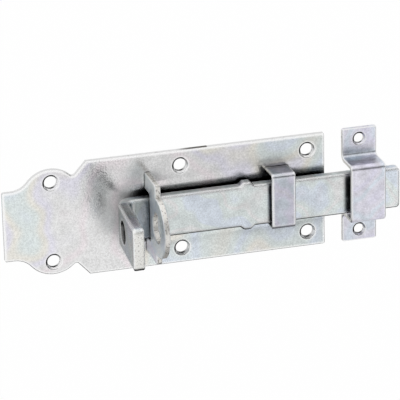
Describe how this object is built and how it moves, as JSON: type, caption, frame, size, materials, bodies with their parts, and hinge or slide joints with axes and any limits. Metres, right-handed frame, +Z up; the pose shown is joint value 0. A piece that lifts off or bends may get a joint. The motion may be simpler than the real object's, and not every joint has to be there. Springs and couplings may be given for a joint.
{
  "type": "door bolt",
  "caption": "Zinc-plated lockable door bolt: shaped plate with a padlock lug and strap guiding a flat sliding bolt with a bent handle tab, and a separate hat-section keeper.",
  "frame": {"origin": "centre of the four screw holes in the wide part of the base plate, on the plate's back face", "axes": "+X the way the bolt shoots, +Z up, the front faces -Y and the back face lies in y = 0"},
  "size_m": [0.1496, 0.0366, 0.0448],
  "materials": {
    "plate_zinc": "bright zinc plating, soft sheen",
    "lug_zinc": "bright zinc plating, sheared edges",
    "strap_zinc": "bright zinc plating, soft sheen",
    "bolt_zinc": "bright zinc plating on a drawn bar",
    "keeper_zinc": "bright zinc plating, soft sheen"
  },
  "bodies": {
    "fixed_set": {"base_plate": "plate_zinc", "padlock_lug": "lug_zinc", "guide_strap": "strap_zinc", "keeper": "keeper_zinc"},
    "bolt": {"sliding_bolt": "bolt_zinc"}
  },
  "joints": [
    {"name": "bolt_slide", "type": "slide", "parent": "fixed_set", "child": "bolt", "axis": [1, 0, 0], "range_m": [-0.032, 0.005]}
  ]
}
